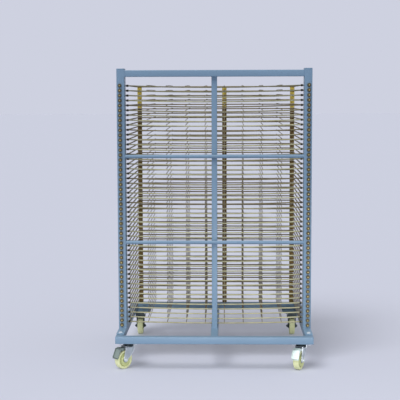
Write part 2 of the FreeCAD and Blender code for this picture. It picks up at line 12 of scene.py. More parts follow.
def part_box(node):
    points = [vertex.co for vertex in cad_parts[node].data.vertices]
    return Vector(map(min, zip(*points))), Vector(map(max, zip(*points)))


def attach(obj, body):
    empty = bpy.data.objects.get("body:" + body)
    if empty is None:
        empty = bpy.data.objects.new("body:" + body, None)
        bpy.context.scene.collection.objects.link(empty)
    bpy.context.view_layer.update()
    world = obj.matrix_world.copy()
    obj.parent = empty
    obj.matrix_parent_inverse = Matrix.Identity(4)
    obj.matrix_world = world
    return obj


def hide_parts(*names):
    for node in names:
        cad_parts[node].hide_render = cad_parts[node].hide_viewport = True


bl_info = {
    "name": "Art drying rack",
    "version": (1, 0, 0),
    "blender": (4, 5, 0),
    "location": "View3D > Sidebar > Drying rack",
    "description": "Builds the visual model of a wheeled drying rack round its packed frame",
    "category": "Add Mesh",
}

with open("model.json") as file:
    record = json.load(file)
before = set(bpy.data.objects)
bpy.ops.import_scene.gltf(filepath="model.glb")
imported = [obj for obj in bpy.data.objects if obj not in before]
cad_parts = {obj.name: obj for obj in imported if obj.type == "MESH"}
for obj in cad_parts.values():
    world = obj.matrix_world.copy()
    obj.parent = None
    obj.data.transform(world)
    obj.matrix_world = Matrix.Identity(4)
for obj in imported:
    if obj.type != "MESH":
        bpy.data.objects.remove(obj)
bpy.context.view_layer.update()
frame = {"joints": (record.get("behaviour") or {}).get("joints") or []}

JOINTS = {joint["name"]: joint for joint in frame["joints"]}
LIFTED = sorted(int(name[-2:]) for name in JOINTS if name.startswith("tray_hinge_"))
FIRST_MOVING, LAST_TRAY = LIFTED[0], LIFTED[-1]
HINGE_LINE = Vector(JOINTS["tray_hinge_%02d" % LAST_TRAY]["pos_m"])
PITCH = HINGE_LINE.z - JOINTS["tray_hinge_%02d" % (LAST_TRAY - 1)]["pos_m"][2]
SIDES = ("left", "right")
SIGNS = (-1, 1)


def joint_place(name):
    """Position and axis of a joint of the frame."""
    return Vector(JOINTS[name]["pos_m"]), Vector(JOINTS[name]["axis"]).normalized()


def tray_level(number):
    """Height of a tray's hinge axis."""
    return HINGE_LINE.z - (LAST_TRAY - number) * PITCH


# ---------------- settings


def mm(default, name, description):
    """A length, given in millimetres."""
    return bpy.props.FloatProperty(
        name=name, description=description, default=default / 1000, unit="LENGTH", precision=4
    )


def colour(default, name, description):
    return bpy.props.FloatVectorProperty(
        name=name, description=description, default=default, size=3, subtype="COLOR", min=0, max=1
    )


def number(default, name, description):
    return bpy.props.FloatProperty(name=name, description=description, default=default)


class RackFinishSettings(bpy.types.PropertyGroup):
    """Colours of the rack's finishes; some of them carry painted light or shade."""

    paint: colour((0.186, 0.298, 0.420), "Paint", "Light blue paint of the frame")
    # Painted light and shade: pivot rods and wires are one zinc; the pivot rods are painted pale as if lit
    # from the front, the wires darker as painted shade from the trays above.
    pivot: colour((0.60, 0.58, 0.36), "Pivot rod", "Pale zinc on the trays' pivot rods")
    # Brown end of the pivot rods' tone; some trays' rods turn further towards it than others.
    brown_pivot: colour((0.21, 0.165, 0.075), "Worn pivot rod", "Brown zinc on the darkest pivot rods")
    wire: colour((0.25, 0.195, 0.09), "Wire", "Olive zinc on the tray wires")
    strip: colour((0.80, 0.62, 0.12), "Strip", "Yellow zinc on the strip feet")
    # Painted shade: the lower strip feet are the yellow zinc strip darkened as if under the trays above.
    shaded_strip: colour((0.20, 0.13, 0.04), "Worn strip", "Brown zinc on the lower strip feet")
    # Partly painted shade: the nuts' brown zinc is darkened nearly to black for the shade round them.
    nut: colour((0.095, 0.085, 0.050), "Nut", "Brown zinc on the hinge nuts")
    bolt: colour((0.80, 0.63, 0.22), "Bolt", "Yellow zinc on the bolt ends and hinge eyes")
    zinc: colour((0.86, 0.91, 0.94), "Zinc", "Bright zinc on the caster forks' rims and bolts")
    leg: colour((0.62, 0.68, 0.72), "Fork leg", "Duller zinc on the flat of the fork legs")
    # Painted shade: heads, races, crowns, fixed forks and far axle bolts sit in the shade of the base bar
    # and trays, so their zinc is painted nearly black.
    race: colour((0.055, 0.070, 0.075), "Race", "Dark zinc on the caster heads and races")
    # Painted light and shade: both brake pedals are one zinc; the right one is painted pale as if it faced
    # the lamp, the left one darker as painted shade, and the right pedal's rims get that painted shade too.
    pedal: colour((0.80, 0.92, 0.87), "Pedal", "Pale zinc on the right brake pedal")
    dull_pedal: colour((0.27, 0.33, 0.30), "Dull pedal", "Dull zinc on the left brake pedal")
    tread: colour((0.86, 0.89, 0.50), "Tread", "Pale yellow-green wheel treads")
    core: colour((0.68, 0.73, 0.33), "Core", "Wheel cores")
    # Painted shade: the groove between tread and core is darkened for the shade in that recess.
    groove: colour((0.40, 0.43, 0.14), "Groove", "Groove between tread and core")
    # The black on the wheel seals is partly painted shade in the gap by the hub.
    black: colour((0.012, 0.012, 0.014), "Black", "Black brake shoes and wheel seals")
    sleeve: colour((0.050, 0.042, 0.026), "Sleeve", "Dark brown sleeves on the pivot rods")


class RackFrameSettings(bpy.types.PropertyGroup):
    """Sizes of the painted frame's edges and welds."""

    tube_radius: mm(3, "Tube corner", "Outer corner radius of the rectangular tubes")
    cap_radius: mm(2.6, "Cap edge", "Edge radius of the post caps")
    plug_radius: mm(1, "Plug edge", "Edge radius of the bar ends' plugs")
    foot_radius: mm(1.5, "Foot edge", "Edge radius of the posts' foot plates")
    mount_size: mm(120, "Caster plate", "Side of the square plates over the casters")
    mount_radius: mm(0.8, "Caster plate edge", "Edge radius of the plates over the casters")
    bolt_across: mm(13, "Foot bolt", "Across the flats of the foot plates' bolts")
    bolt_height: mm(4.5, "Foot bolt height", "Height of the foot plates' bolt heads")
    washer_radius: mm(11, "Foot washer", "Radius of the washers on the foot plates")
    washer_sheet: mm(1.5, "Foot washer sheet", "Thickness of the washers on the foot plates")
    weld_radius: mm(2.4, "Weld bead", "Half width of the weld beads")
    weld_step: mm(3.5, "Weld step", "Length of one span of a weld bead")
    weld_sink: number(0.25, "Weld sink", "How deep a bead sits in its joint, as a share of its half width")
    weld_share: number(0.8, "Weld core", "Drawn radius of a bead, as a share of its half width")


class RackTraySettings(bpy.types.PropertyGroup):
    """Sizes of one wire tray."""

    half_width: mm(471.5, "Half width", "Middle of the tray to the middle of a side rod")
    pivot_radius: mm(3.6, "Pivot rod", "Radius of the pivot rod")
    rod_radius: mm(3.5, "Frame rod", "Radius of the side and far rods")
    rod_rise: mm(0.5, "Frame rod's rise", "Height of the side rods over the hinge axis")
    wire_radius: mm(2, "Wire", "Radius of the depthwise wires")
    wire_rise: mm(5.8, "Wire's rise", "Height of the wires over the hinge axis")
    wire_count: bpy.props.IntProperty(name="Wires", description="Depthwise wires, evenly spaced", default=8)
    bend_radius: mm(12, "Bend", "Bend radius of the frame rod's corners")
    sag: mm(9, "Sag", "How far the middle of the pivot rod hangs down")
    foot_width: mm(27, "Foot", "Width of the strip feet")
    foot_sheet: mm(3, "Foot strip", "Thickness of the strip feet")
    foot_place: mm(52, "Middle foot", "Middle foot from the centre line")
    foot_edge: mm(0.8, "Foot edge", "Edge radius of the strip feet")
    sleeve_radius: mm(6.2, "Sleeve", "Radius of the dark sleeves on the pivot rod")
    sleeve_start: mm(478, "Sleeve's place", "Middle of the tray to the outer end of the sleeves")
    sleeve_length: mm(11, "Sleeve length", "Length of the dark sleeves on the pivot rod")


class RackHingeSettings(bpy.types.PropertyGroup):
    """Sizes of the hinge hardware on the posts."""

    nut_across: mm(17, "Nut", "Across the flats of a hinge nut")
    nut_height: mm(8, "Nut height", "Height of a hinge nut")
    bolt_radius: mm(2.8, "Bolt", "Radius of the eye bolts' ends")
    bolt_stand: mm(4.5, "Bolt stand", "How far a bolt's end stands out of its nut")
    washer_radius: mm(10.8, "Washer", "Radius of the washers")
    washer_sheet: mm(1.4, "Washer sheet", "Thickness of the washers")
    eye_radius: mm(8.8, "Eye", "Outer radius of the hinge eyes")
    eye_bore: mm(4.2, "Eye bore", "Bore of the hinge eyes")
    eye_width: mm(8, "Eye width", "Width of the hinge eyes along the pivot rod")
    shank_radius: mm(4, "Shank", "Radius of the eye bolts' shanks")
    chamfer: mm(1, "Chamfer", "Chamfer of the bolt ends and eyes")


class RackCasterSettings(bpy.types.PropertyGroup):
    """Sizes of the casters' sheet metal, wheels and bolts."""

    wheel_half: mm(16, "Wheel half width", "Half the width of a wheel")
    core_radius: mm(37, "Core", "Radius of the wheel cores")
    hub_radius: mm(16.5, "Hub", "Radius of the wheels' hubs")
    axle_radius: mm(5, "Axle", "Radius of the axles")
    tread_round: mm(6, "Tread round", "Shoulder radius of the treads")
    dish: mm(3, "Dish", "How far the core lies inside the hub's face")
    bolt_across: mm(13, "Plate bolt", "Across the flats of the caster bolts")
    bolt_height: mm(6, "Plate bolt height", "Height of the caster bolts' heads")
    nut_across: mm(16.5, "Axle nut", "Across the flats of the axle nuts")
    nut_height: mm(7, "Axle nut height", "Height of the axle nuts")
    washer_sheet: mm(1.6, "Axle washer", "Thickness of the washers under the axle nuts")
    bolts_long: mm(42, "Bolts along", "Head plate's middle to its bolts, the long way")
    bolts_wide: mm(32, "Bolts across", "Head plate's middle to its bolts, the short way")
    crown_radius: mm(28, "Crown", "Radius of the swivel forks' crowns")
    crown_depth: mm(8, "Crown depth", "Depth of the swivel forks' crowns under their top sheet")
    crown_bore: mm(6.5, "Crown bore", "Radius of the hole in a swivel fork's crown")
    pin_radius: mm(2.9, "Pin", "Radius of the brake pedals' pins")
    pin_head: mm(1.6, "Pin head", "Height of the pins' riveted heads")
    head_sheet: mm(4, "Head plate", "Thickness of the casters' head plates")
    head_corner: mm(12, "Head corner", "Corner radius of the head plates")
    leg_gap: mm(18.5, "Leg gap", "Middle of a fork to the inside of its legs")
    sheet: mm(3, "Sheet", "Thickness of forks and pedals")
    leg_edge: mm(0.9, "Leg edge", "Edge radius of the fork legs")
    pressed_edge: mm(0.6, "Pressed edge", "Edge radius of the pedals' arms and shoes")
    weld: mm(1, "Fork weld", "How far the fixed forks' legs and webs enter the head plates")
    play: mm(0.4, "Play", "Gap between a wheel's seal and the leg")
    rim: mm(1.7, "Rim", "Radius of the rolled rims along legs and pedals")
    web_half: mm(29, "Fork web", "Half width of the web under a fixed fork's head plate")
    web_gap: mm(3.5, "Web gap", "Tread to the web of a fixed fork")
    boss_radius: mm(14, "Boss", "Round end of the fork legs")
    boss_rise: mm(1, "Boss rise", "Height of the raised bosses about the axles")
    leg_front: mm(26.8, "Leg front", "Swivel axis to the front of the legs")
    leg_back: mm(33, "Leg back", "Swivel axis to the back of the legs")
    pedal_half: mm(20.5, "Pedal half width", "Half the width of the brake pedals' plates")
    flange_depth: mm(7, "Pedal flange", "Depth of the flanges along the brake pedals")
    shoe_gap: mm(3.8, "Shoe gap", "Tread to the released brake shoe")
    shoe_depth: mm(4, "Shoe depth", "Thickness of the brake shoes over the tread")
    shoe_half: mm(14, "Shoe half width", "Half the width of the brake shoes")


class RackStageSettings(bpy.types.PropertyGroup):
    """Backdrop, light and camera."""

    backdrop: colour((0.617, 0.638, 0.745), "Backdrop", "Pale colour behind and under the rack")
    floor: colour((0.617, 0.638, 0.745), "Floor", "Colour of the floor")
    floor_share: number(0.22, "Floor share", "How much of the floor's look is the plain backdrop")
    key_strength: number(1.96, "Key", "Strength of the front lamp")
    fill_strength: number(0.46, "Fill", "Strength of the surrounding light")
    low_power: number(2.8, "Low panel", "Power of the low panel, watts")


def settings(name):
    return getattr(bpy.context.scene, "rack_" + name)


# ---------------- materials

Finish = collections.namedtuple(
    "Finish", "name stain roughness metallic scale amount bump coat", defaults=(0.0,)
)
# Each finish under the name of its colour setting. A stain is a share of that colour or a
# colour of its own; scale and amount belong to the stains.
FINISHES = {
    "paint": Finish("Light blue paint", 0.80, 0.42, 0.0, 3.0, 0.35, 0.12, 0.12),
    # The pivot rods carry painted light and the wires painted shade, over one zinc.
    "pivot": Finish("Zinc pivot rod %d", 0.55, 0.36, 0.35, 11.0, 0.7, 0.05),
    "wire": Finish("Olive zinc wire", 0.45, 0.42, 0.45, 9.0, 0.75, 0.05),
    "strip": Finish("Yellow zinc strip", 0.45, 0.32, 0.6, 60.0, 0.7, 0.05),
    # Painted shade on the lower strip feet, over the yellow zinc.
    "shaded_strip": Finish("Brown zinc strip", 0.45, 0.32, 0.6, 60.0, 0.7, 0.05),
    "nut": Finish("Brown zinc nut", 1.5, 0.34, 0.5, 22.0, 0.8, 0.05),
    "bolt": Finish("Yellow zinc bolt", 0.5, 0.28, 0.6, 28.0, 0.6, 0.05),
    "zinc": Finish("Bright zinc", 0.62, 0.28, 0.55, 34.0, 0.6, 0.05),
    "leg": Finish("Dull zinc leg", 0.7, 0.34, 0.45, 34.0, 0.6, 0.05),
    "race": Finish("Dark zinc", 1.9, 0.40, 0.5, 30.0, 0.5, 0.05),
    # Lit and shaded copies of one pedal zinc.
    "pedal": Finish("Pale zinc pedal", 0.62, 0.34, 0.25, 24.0, 0.5, 0.05),
    "dull_pedal": Finish("Dull zinc pedal", 0.62, 0.34, 0.25, 24.0, 0.5, 0.05),
    "tread": Finish("Yellow-green tread", 0.80, 0.46, 0.0, 20.0, 0.4, 0.06),
    "core": Finish("Wheel core", 0.7, 0.42, 0.0, 20.0, 0.4, 0.05),
    "groove": Finish("Wheel groove", 0.6, 0.6, 0.0, 20.0, 0.4, 0.05),
    "black": Finish("Black rubber", (0.03, 0.03, 0.03), 0.5, 0.0, 30.0, 0.5, 0.1),
    "sleeve": Finish("Dark sleeve", 0.4, 0.45, 0.0, 30.0, 0.7, 0.1),
}
STAIN_DETAIL, STAIN_STARTS, STAIN_FULL = 4, 0.35, 0.70
STAIN_ROUGHNESS = 0.35
GRAIN_SCALE, GRAIN_DEPTH = 900, 0.0004
COAT_ROUGHNESS = 0.2


def feed(tree, node, values):
    """Give each input of a node its value, or the output that drives it."""
    for place, value in values.items():
        if isinstance(value, bpy.types.NodeSocket):
            tree.links.new(value, node.inputs[place])
        else:
            node.inputs[place].default_value = value


def add_node(tree, kind, values, **options):
    """Add a shader node with its options and inputs."""
    node = tree.nodes.new("ShaderNode" + kind)
    for name, value in options.items():
        setattr(node, name, value)
    feed(tree, node, values)
    return node


def uneven_finish():
    """Group: slow stains and fine grain of a finish, as a colour, a roughness and a height."""
    if "Uneven finish" in bpy.data.node_groups:
        return bpy.data.node_groups["Uneven finish"]
    tree = bpy.data.node_groups.new("Uneven finish", "ShaderNodeTree")
    for way, name, kind in (
        ("INPUT", "Color", "Color"), ("INPUT", "Stain", "Color"), ("INPUT", "Scale", "Float"),
        ("INPUT", "Amount", "Float"), ("INPUT", "Roughness", "Float"),
        ("OUTPUT", "Color", "Color"), ("OUTPUT", "Roughness", "Float"), ("OUTPUT", "Height", "Float"),
    ):
        tree.interface.new_socket(name=name, in_out=way, socket_type="NodeSocket" + kind)
    given = tree.nodes.new("NodeGroupInput").outputs
    place = add_node(tree, "TexCoord", {}).outputs["Object"]
    slow = add_node(tree, "TexNoise", {"Vector": place, "Scale": given["Scale"], "Detail": STAIN_DETAIL})
    fine = add_node(tree, "TexNoise", {"Vector": place, "Scale": GRAIN_SCALE})
    spread = add_node(tree, "MapRange", {
        "Value": slow.outputs["Fac"], "From Min": STAIN_STARTS, "From Max": STAIN_FULL})
    share = add_node(tree, "Math", {0: spread.outputs["Result"], 1: given["Amount"]},
                     operation="MULTIPLY").outputs[0]
    mix = add_node(tree, "Mix", {"Factor": share, "A": given["Color"], "B": given["Stain"]},
                   data_type="RGBA")
    rough = add_node(tree, "Math", {0: share, 1: STAIN_ROUGHNESS, 2: given["Roughness"]},
                     operation="MULTIPLY_ADD")
    feed(tree, tree.nodes.new("NodeGroupOutput"), {
        "Color": mix.outputs["Result"], "Roughness": rough.outputs[0], "Height": fine.outputs["Fac"]})
    return tree


def finish_material(name, tint, finish):
    """A Principled material whose colour, roughness and bump come from the uneven finish."""
    if name in bpy.data.materials:
        return bpy.data.materials[name]
    stain = finish.stain
    if not isinstance(stain, tuple):
        stain = [min(1.0, part * stain) for part in tint]
    material = bpy.data.materials.new(name)
    material.use_nodes = True
    tree = material.node_tree
    uneven = add_node(tree, "Group", {
        "Color": (*tint, 1), "Stain": (*stain, 1), "Scale": finish.scale,
        "Amount": finish.amount, "Roughness": finish.roughness}, node_tree=uneven_finish())
    grain = add_node(tree, "Bump", {
        "Strength": finish.bump, "Distance": GRAIN_DEPTH, "Height": uneven.outputs["Height"]})
    feed(tree, tree.nodes["Principled BSDF"], {
        "Metallic": finish.metallic, "Coat Weight": finish.coat, "Coat Roughness": COAT_ROUGHNESS,
        "Base Color": uneven.outputs["Color"], "Roughness": uneven.outputs["Roughness"],
        "Normal": grain.outputs["Normal"]})
    return material


def looks(*kinds):
    """The materials of some finishes."""
    tints = settings("finish")
    return [finish_material(FINISHES[kind].name, getattr(tints, kind), FINISHES[kind]) for kind in kinds]


def pivot_material(darkening):
    """Zinc on a pivot rod, painted pale as if lit from the front: from pale at 0 to brown at 100 percent.
    """
    tints, finish = settings("finish"), FINISHES["pivot"]
    tint = tuple(a + (b - a) * (darkening / 100) for a, b in zip(tints.pivot, tints.brown_pivot))
    return finish_material(finish.name % darkening, tint, finish)


# ---------------- shapes

SMOOTH_ANGLE = math.radians(32)
NEARLY_UPRIGHT = 0.9


def add_object(name, data):
    """Put an object with its mesh, lamp or camera into the scene."""
    made = bpy.data.objects.new(name, data)
    bpy.context.scene.collection.objects.link(made)
    return made


def finish_object(name, mesh_data, materials, body, replaced=(), location=(0, 0, 0)):
    """Put a new bmesh, or a mesh made before, into the scene as one piece that rides on a body."""
    if isinstance(mesh_data, bmesh.types.BMesh):
        bmesh.ops.recalc_face_normals(mesh_data, faces=mesh_data.faces)
        mesh = bpy.data.meshes.new(name)
        mesh_data.to_mesh(mesh)
        mesh_data.free()
        for material in materials:
            mesh.materials.append(material)
        mesh.shade_smooth()
        mesh.set_sharp_from_angle(angle=SMOOTH_ANGLE)
    else:
        mesh = mesh_data
    piece = add_object(name, mesh)
    piece.location = location
    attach(piece, body)
    if replaced:
        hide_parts(*replaced)
    return piece


def guide(axis):
    """A direction that lies well off an axis."""
    return Vector((0, 0, 1)) if abs(axis.z) < NEARLY_UPRIGHT else Vector((1, 0, 0))


def square_axes(axis):
    """Two unit vectors square to an axis and to each other."""
    across = axis.cross(guide(axis)).normalized()
    return across, axis.cross(across).normalized()


def ring(bm, centre, across, up, radius, steps):
    """A circle of vertices in the plane of two unit vectors."""
    turns = [2 * math.pi * i / steps for i in range(steps)]
    return [bm.verts.new(centre + radius * (math.cos(turn) * across + math.sin(turn) * up))
            for turn in turns]


def skin(bm, rings, material=0):
    """Join each ring of vertices to the next."""
    for first, second in zip(rings, rings[1:]):
        for i in range(len(first)):
            after = (i + 1) % len(first)
            face = bm.faces.new((first[i], first[after], second[after], second[i]))
            face.material_index = material


def cap(bm, first, last, material=0):
    """Close both ends of a run of rings."""
    for end in (first[::-1], last):
        bm.faces.new(end).material_index = material


def rod(bm, points, radius, steps=8, material=0, capped=True):
    """A round bar along a line of points, mitred where it turns."""
    points = [Vector(point) for point in points]
    rings = []
    up = None
    for i, point in enumerate(points):
        before = points[i] - points[i - 1] if i else points[1] - points[0]
        after = points[i + 1] - points[i] if i + 1 < len(points) else before
        along = (before.normalized() + after.normalized()).normalized()
        across = along.cross(up or guide(along)).normalized()
        up = across.cross(along).normalized()
        rings.append(ring(bm, point, across, up, radius, steps))
    skin(bm, rings, material)
    if capped:
        cap(bm, rings[0], rings[-1], material)


def lathe(bm, profile, origin, axis, steps=40, material=0, close=True):
    """Turn a profile of (along, radius) pairs about an axis."""
    origin, axis = Vector(origin), Vector(axis).normalized()
    rings = [ring(bm, origin + axis * along, *square_axes(axis), radius, steps)
             for along, radius in profile]
    skin(bm, rings + rings[:1] if close else rings, material)


def washer(bm, place, axis, bore, radius, sheet, steps=16, material=0):
    """A flat ring on a face; a bore of 0 leaves a disc."""
    profile = [(0, bore), (0, radius), (sheet, radius), (sheet, bore)]
    lathe(bm, profile, place, axis, steps, material, bore > 0)


def round_edges(bm, edges, radius, segments=2):
    bmesh.ops.bevel(bm, geom=edges, offset=radius, segments=segments, profile=0.5,
                    affect="EDGES", clamp_overlap=True)


def slab(bm, low, high, radius=0.0, segments=2, material=0, along=None):
    """A box between two corners; its edges, or only those along one axis, are rounded."""
    low, high = Vector(low), Vector(high)
    corners = bmesh.ops.create_cube(bm, size=1)["verts"]
    for vertex in corners:
        vertex.co = Vector(low[i] + (vertex.co[i] + 0.5) * (high[i] - low[i]) for i in range(3))
    for face in {face for vertex in corners for face in vertex.link_faces}:
        face.material_index = material
    if radius:
        edges = list({edge for vertex in corners for edge in vertex.link_edges})
        if along is not None:
            others = [axis for axis in range(3) if axis != along]
            edges = [edge for edge in edges
                     if all(edge.verts[0].co[axis] == edge.verts[1].co[axis] for axis in others)]
        round_edges(bm, edges, radius, segments)


def hexagon(bm, base, axis, across, height, material=0, chamfer=0.12, top=0.86):
    """A hexagon nut or bolt head standing on base, its far corners cut back."""
    base, axis = Vector(base), Vector(axis).normalized()
    corner = across / 2 / math.cos(math.pi / 6)
    rings = [ring(bm, base + axis * along, *square_axes(axis), radius, 6)
             for along, radius in ((0, corner), (height * (1 - chamfer), corner), (height, corner * top))]
    skin(bm, rings, material)
    cap(bm, rings[0], rings[-1], material)


def plate(bm, outline, low, high, radius=0.0, material=0):
    """A plate along X between low and high; its outline is (y, z) points, its rims are rounded."""
    near, far = ([bm.verts.new((x, *spot)) for spot in outline] for x in (low, high))
    faces = [bm.faces.new(near), bm.faces.new(far[::-1])]
    rims = list({edge for face in faces for edge in face.edges})
    for face in faces:
        face.material_index = material
    skin(bm, [far, near], material)
    if radius:
        round_edges(bm, rims, radius)


def curve(start, pull, finish, steps=8):
    """Points of a smooth bend from start to finish, drawn towards pull."""
    start, pull, finish = Vector(start), Vector(pull), Vector(finish)
    shares = [i / steps for i in range(steps + 1)]
    return [tuple(start.lerp(pull, share).lerp(pull.lerp(finish, share), share)) for share in shares]


def arc(centre, radius, start, finish, steps=10):
    """Points round a centre between two angles in degrees."""
    turns = [math.radians(start + (finish - start) * i / steps) for i in range(steps + 1)]
    return [(centre[0] + radius * math.cos(turn), centre[1] + radius * math.sin(turn)) for turn in turns]


def turn_and_move(bm, axis, origin):
    """Turn everything about Z so that X lies along axis, then move it."""
    turn = math.atan2(axis.y, axis.x)
    bmesh.ops.rotate(bm, verts=bm.verts, cent=(0, 0, 0), matrix=Matrix.Rotation(turn, 3, "Z"))
    bmesh.ops.translate(bm, verts=bm.verts, vec=(origin.x, origin.y, 0))


# ---------------- frame

# Each straight tube: its piece, the node whose place it takes, and its long axis.
TUBES = (
    ("left_post_tube", "left_post", 2),
    ("right_post_tube", "right_post", 2),
    ("top_rail_tube", "top_rail", 0),
    ("mullion_tube", "centre_mullion", 2),
    ("near_bar_tube", "base_near_bar", 0),
    ("far_bar_tube", "base_far_bar", 0),
    ("centre_rail_tube", "base_centre_rail", 1),
)


def slab_piece(name, node, boxes, radius, segments=2, along=None):
    """Painted boxes with rounded edges, as one piece in the place of a node."""
    bm = bmesh.new()
    for low, high in boxes:
        slab(bm, low, high, radius, segments, along=along)
    finish_object(name, bm, looks("paint"), "frame", [node])


class RACK_OT_frame_tubes(bpy.types.Operator):
    """Posts, rails and base bars with rounded tube corners"""

    bl_idname = "rack.frame_tubes"
    bl_label = "Frame tubes"

    def execute(self, context):
        radius = settings("frame").tube_radius
        for name, node, along in TUBES:
            slab_piece(name, node, [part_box(node)], radius, 3, along)
        low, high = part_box("base_side_rails")
        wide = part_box("base_centre_rail")[1].x * 2
        rails = [(low, (low.x + wide, high.y, high.z)), ((high.x - wide, low.y, low.z), high)]
        slab_piece("side_rail_tubes", "base_side_rails", rails, radius, 3, 1)
        for node in ("upper_crossbar", "lower_crossbar"):
            low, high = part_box(node)
            middle = (low + high) / 2
            bm = bmesh.new()
            rod(bm, [(x, middle.y, middle.z) for x in (low.x, high.x)], (high.z - low.z) / 2, 24)
            finish_object(node + "_tube", bm, looks("paint"), "frame", [node])
        return {"FINISHED"}


def bar_plugs(shape):
    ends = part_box("base_end_caps")
    plugs = []
    for node in ("base_near_bar", "base_far_bar"):
        low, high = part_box(node)
        plugs.append(((ends[0].x, low.y, low.z), (low.x, high.y, high.z)))
        plugs.append(((high.x, low.y, low.z), (ends[1].x, high.y, high.z)))
    slab_piece("bar_end_plugs", "base_end_caps", plugs, shape.plug_radius)


def foot_bolts(posts, level, shape):
    """Two bolts with their washers on each foot plate."""
    low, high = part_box("foot_plate_bolts")
    up, inset = (0, 0, 1), shape.bolt_across / 2
    bm = bmesh.new()
    for post in posts:
        x = (post[0].x + post[1].x) / 2
        for y in (low.y + inset, high.y - inset):
            washer(bm, (x, y, level), up, 0, shape.washer_radius, shape.washer_sheet, 24)
            hexagon(bm, (x, y, level + shape.washer_sheet), up, shape.bolt_across, shape.bolt_height)
    finish_object("foot_plate_bolt_set", bm, looks("zinc"), "frame",
                  ["foot_plate_bolts"])


def mounting_plates(shape):
    low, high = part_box("caster_mounting_plates")
    size = shape.mount_size
    plates = [((x, y, low.z), (x + size, y + size, high.z))
              for x in (low.x, high.x - size) for y in (low.y, high.y - size)]
    slab_piece("mounting_plate_set", "caster_mounting_plates", plates, shape.mount_radius, 1)


class RACK_OT_frame_ends(bpy.types.Operator):
    """Post caps, bar plugs, foot plates with their bolts, and caster plates"""

    bl_idname = "rack.frame_ends"
    bl_label = "Caps, plugs and plates"

    def execute(self, context):
        shape = settings("frame")
        posts = [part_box(side + "_post") for side in SIDES]
        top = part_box("post_caps")[1].z
        caps = [((low.x, low.y, high.z), (high.x, high.y, top)) for low, high in posts]
        slab_piece("post_cap_plates", "post_caps", caps, shape.cap_radius, 3)
        bar_plugs(shape)
        low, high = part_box("post_foot_plates")
        feet = [((post[0].x, low.y, low.z), (post[1].x, high.y, high.z)) for post in posts]
        slab_piece("post_foot_plate_pair", "post_foot_plates", feet, shape.foot_radius)
        foot_bolts(posts, high.z, shape)
        mounting_plates(shape)
        return {"FINISHED"}


def weld_joints(inset):
    """Rectangles in which two tubes meet: low corner, high corner, fixed axis."""
    low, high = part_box("top_rail")
    for x in (low.x, high.x):
        yield (x, low.y, low.z), (x, high.y, high.z), 0
    low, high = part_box("centre_mullion")
    for z in (low.z, high.z):
        yield (low.x, low.y, z), (high.x, high.y, z), 2
    for side in SIDES:
        low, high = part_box(side + "_post")
        yield (low.x + inset, low.y, low.z), (high.x - inset, high.y, low.z), 2


def weld_bead(bm, low, high, fixed, shape):
    """A bead round the rectangle between two corners, sunk a little into the joint."""
    first, second = [axis for axis in range(3) if axis != fixed]
    corners = []
    for a, b in ((low, low), (high, low), (high, high), (low, high)):
        spot = Vector(low)
        spot[first], spot[second] = a[first], b[second]
        corners.append(spot)
    sunk = shape.weld_radius * shape.weld_sink
    if fixed == 0 and low.x > 0:
        sunk = -sunk
    for start, finish in zip(corners, corners[1:] + corners[:1]):
        count = max(2, int((finish - start).length / shape.weld_step))
        points = [start.lerp(finish, i / count) for i in range(count + 1)]
        for point in points:
            point[fixed] += sunk
        rod(bm, points, shape.weld_radius * shape.weld_share, 6)


class RACK_OT_frame_welds(bpy.types.Operator):
    """Painted weld beads where tubes meet"""

    bl_idname = "rack.frame_welds"
    bl_label = "Weld beads"

    def execute(self, context):
        shape = settings("frame")
        bm = bmesh.new()
        for low, high, fixed in weld_joints(shape.weld_radius):
            weld_bead(bm, Vector(low), Vector(high), fixed, shape)
        finish_object("frame_weld_beads", bm, looks("paint"), "frame")
        return {"FINISHED"}


# ---------------- trays

TRAY_PIVOT, TRAY_WIRE, TRAY_STRIP, TRAY_SLEEVE = range(4)
PIVOT_SPANS = 24
BRIGHT_TRAYS = 5  # the top trays, whose strip feet are left without painted shade
# How far each tray's pivot rod turns from pale to brown
UPPER_DARKENING = (60, 20, 90, 35, 5)  # percent, in turn from the top
LOWER_DARKENING = (0, 12, 24, 12, 0)


def hang(x, sag):
    """Height of the sagging pivot rod at x, from its ends."""
    share = min(1.0, abs(x) / settings("tray").half_width)
    return -sag * (1 - share * share)


def tray_frame(bm, reach, shape):
    """Side rods and far rod in one bent length, open at the pivot."""
    side, corner = shape.half_width, shape.bend_radius
    start = shape.pivot_radius * 0.6
    left = arc((-side + corner, reach - corner), corner, 180, 90)
    right = arc((side - corner, reach - corner), corner, 90, 0)
    path = [(-side, start)] + left + right + [(side, start)]
    rod(bm, [(x, y, shape.rod_rise) for x, y in path], shape.rod_radius, 10, TRAY_WIRE)


def tray_wires(bm, reach, sag, shape):
    """Depthwise wires that follow the pivot rod down at their near ends."""
    spacing = 2 * shape.half_width / (shape.wire_count + 1)
    for i in range(shape.wire_count):
        x = (i - (shape.wire_count - 1) / 2) * spacing
        drop = hang(x, sag)
        line = [(-shape.pivot_radius, drop), (reach * 0.03, drop), (reach * 0.5, drop * 0.3),
                (reach + shape.rod_radius * 0.6, 0)]
        rod(bm, [(x, y, shape.wire_rise + z) for y, z in line], shape.wire_radius, 8, TRAY_WIRE)


